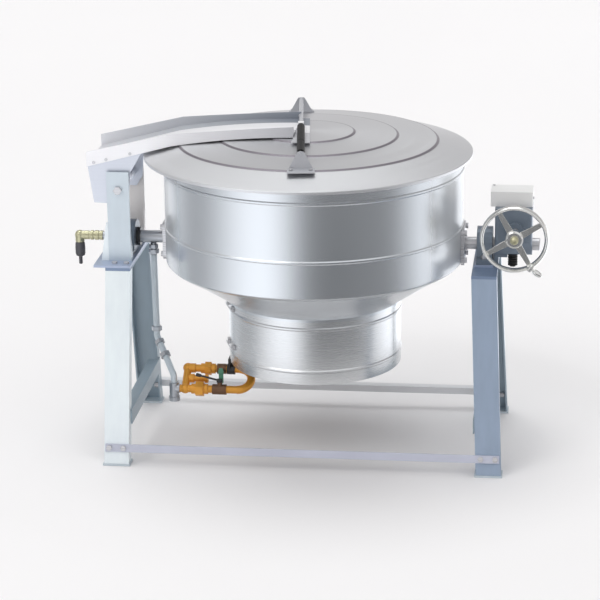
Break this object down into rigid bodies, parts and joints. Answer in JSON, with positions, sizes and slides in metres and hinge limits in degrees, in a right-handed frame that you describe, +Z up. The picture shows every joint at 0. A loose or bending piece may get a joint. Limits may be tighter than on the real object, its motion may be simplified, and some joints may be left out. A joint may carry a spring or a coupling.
{
  "type": "steam_jacketed_kettle",
  "caption": "Gas fired jacketed tilting kettle on a steel frame, with a swing-up lid on an arched arm and a handwheel worm drive.",
  "frame": {"origin": "centre of the bounding box on the floor", "axes": "+X from the lid arm's side to the handwheel's side, along the tilting axis; -Y is the front, where the kettle pours; +Z is up"},
  "size_m": [1.5456, 1.052, 1.076],
  "materials": {
    "pan_steel": "brushed stainless sheet",
    "jacket_steel": "mill finished plate",
    "casing_steel": "brushed stainless cladding",
    "lid_steel": "satin spun stainless",
    "arm_steel": "satin folded sheet",
    "bright_steel": "machined steel",
    "cast_iron": "raw casting",
    "black_metal": "black paint",
    "frame_paint": "silver blue paint",
    "gear_paint": "blue grey paint",
    "guard_paint": "light grey paint",
    "pipe_brass": "yellow brass and primed pipe",
    "cock_metal": "brown paint",
    "green_metal": "green paint",
    "brass": "turned brass",
    "hose_metal": "dark grey ferrule",
    "black_rubber": "ribbed rubber",
    "black_plastic": "moulded grip",
    "wheel_metal": "polished casting"
  },
  "bodies": {
    "frame": {"left_front_leg": "frame_paint", "left_rear_leg": "frame_paint", "right_front_leg": "frame_paint", "right_rear_leg": "frame_paint", "foot_plates": "frame_paint", "top_plates": "frame_paint", "leg_stretchers": "frame_paint", "front_crossbar": "frame_paint", "rear_crossbar": "frame_paint", "frame_bolts": "bright_steel", "bearing_plates": "frame_paint", "lid_posts": "frame_paint", "post_gussets": "frame_paint", "left_bearing_housing": "gear_paint", "right_bearing_housing": "gear_paint", "shaft_bushes": "brass", "pivot_bolt": "bright_steel", "union_body": "brass", "union_elbow": "brass", "hose_tail": "hose_metal", "gearbox_housing": "gear_paint", "gear_guard": "guard_paint", "guard_screws": "bright_steel", "gearbox_boot": "black_rubber"},
    "kettle": {"inner_pan": "pan_steel", "steam_jacket": "jacket_steel", "outer_casing": "casing_steel", "burner_skirt": "casing_steel", "skirt_front_panel": "casing_steel", "skirt_latches": "bright_steel", "burner_ring": "cast_iron", "trunnion_saddles": "bright_steel", "left_trunnion": "bright_steel", "right_trunnion": "bright_steel", "trunnion_bolts": "bright_steel", "worm_wheel": "cast_iron", "shaft_collar": "black_metal", "supply_pipe": "frame_paint", "pipe_fittings": "bright_steel", "gas_header": "pipe_brass", "gas_runs": "pipe_brass", "gas_return_bend": "pipe_brass", "gas_cocks": "cock_metal", "train_bracket": "black_metal"},
    "lid": {"lid_panel": "lid_steel", "lid_seat_ring": "lid_steel", "bail_brackets": "bright_steel", "bail_bar": "bright_steel", "bail_grip": "black_plastic", "bail_screws": "bright_steel", "lid_arm": "arm_steel", "arm_hanger": "arm_steel", "arm_screws": "bright_steel", "lid_tongue": "arm_steel"},
    "wheel": {"worm_shaft": "bright_steel", "handwheel": "wheel_metal", "wheel_nut": "brass"},
    "crank": {"crank_handle": "wheel_metal"},
    "main_lever": {"main_cock_lever": "black_metal"},
    "pilot_lever": {"pilot_cock_lever": "green_metal"}
  },
  "joints": [
    {"name": "kettle_tilt", "type": "hinge", "parent": "frame", "child": "kettle", "pos_m": [0.01575, 0, 0.6785], "axis": [1, 0, 0], "range_deg": [0, 80]},
    {"name": "lid_arm_lift", "type": "hinge", "parent": "frame", "child": "lid", "pos_m": [-0.59775, 0, 0.867], "axis": [0, -1, 0], "range_deg": [0, 112]},
    {"name": "handwheel_turn", "type": "hinge", "parent": "frame", "child": "wheel", "pos_m": [0.66475, -0.178, 0.7445], "axis": [0, -1, 0], "range_deg": [0, 2400]},
    {"name": "crank_handle_fold", "type": "hinge", "parent": "wheel", "child": "crank", "pos_m": [0.71525, -0.2015, 0.65703], "axis": [-0.5736, 0, -0.8192], "range_deg": [0, 90]},
    {"name": "main_cock_turn", "type": "hinge", "parent": "kettle", "child": "main_lever", "pos_m": [-0.28925, -0.1, 0.2172], "axis": [0, 0, 1], "range_deg": [0, 90]},
    {"name": "pilot_cock_turn", "type": "hinge", "parent": "kettle", "child": "pilot_lever", "pos_m": [-0.29025, -0.059, 0.238], "axis": [0, 1, 0], "range_deg": [0, 90]}
  ],
  "couplings": [
    {"joint": "lid_arm_lift", "follows": "kettle_tilt", "ratio": 1.4},
    {"joint": "handwheel_turn", "follows": "kettle_tilt", "ratio": 30}
  ]
}
